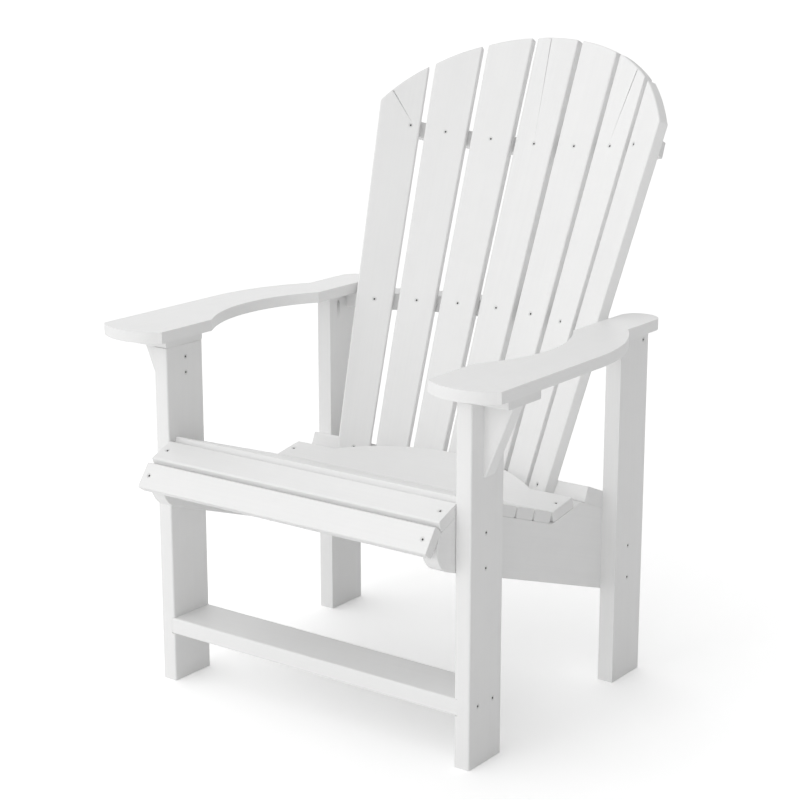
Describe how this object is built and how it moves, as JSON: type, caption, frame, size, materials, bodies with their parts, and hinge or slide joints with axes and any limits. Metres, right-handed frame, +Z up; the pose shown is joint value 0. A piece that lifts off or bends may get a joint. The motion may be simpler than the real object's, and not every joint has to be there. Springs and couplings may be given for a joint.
{
  "type": "adirondack chair",
  "caption": "Upright adirondack garden chair in white poly lumber, with a fanned, curved slat back, a sloped slat seat, wide curved arms on bracketed legs and a front stretcher.",
  "frame": {"origin": "on the floor, under the middle of the whole chair's box", "axes": "+Z up, +Y from the front of the chair to its rear, +X to the viewer's right when the chair is seen from the front; X = 0 is the plane of symmetry"},
  "size_m": [0.792, 0.8338, 1.0661],
  "materials": {
    "lumber": "white solid-colour plastic lumber, satin, with a faint lengthwise grain and slightly rounded edges",
    "screw": "pale coated steel with a dark square drive recess"
  },
  "bodies": {
    "root": {"front_leg_left": "lumber", "front_leg_right": "lumber", "rear_leg_left": "lumber", "rear_leg_right": "lumber", "front_stretcher": "lumber", "seat_rail_left": "lumber", "seat_rail_right": "lumber", "nosing_slat": "lumber", "front_slat": "lumber", "seat_slat_1": "lumber", "seat_slat_2": "lumber", "seat_slat_3": "lumber", "seat_slat_4": "lumber", "seat_slat_5": "lumber", "last_seat_slat": "lumber", "lower_back_board": "lumber", "arm_rail": "lumber", "upper_back_rail": "lumber", "back_slat_1": "lumber", "back_slat_2": "lumber", "back_slat_3": "lumber", "back_slat_4": "lumber", "back_slat_5": "lumber", "back_slat_6": "lumber", "back_slat_7": "lumber", "arm_cleat_left": "lumber", "arm_cleat_right": "lumber", "arm_bracket_left": "lumber", "arm_bracket_right": "lumber", "arm_left": "lumber", "arm_right": "lumber", "stretcher_screws": "screw", "rail_screws": "screw", "seat_screws": "screw", "lower_board_screws": "screw", "arm_rail_screws": "screw", "back_screws_low": "screw", "back_screws_middle": "screw", "back_screws_high": "screw", "cleat_screws": "screw", "bracket_screws": "screw", "arm_screws": "screw", "pocket_screws": "screw"}
  },
  "joints": []
}
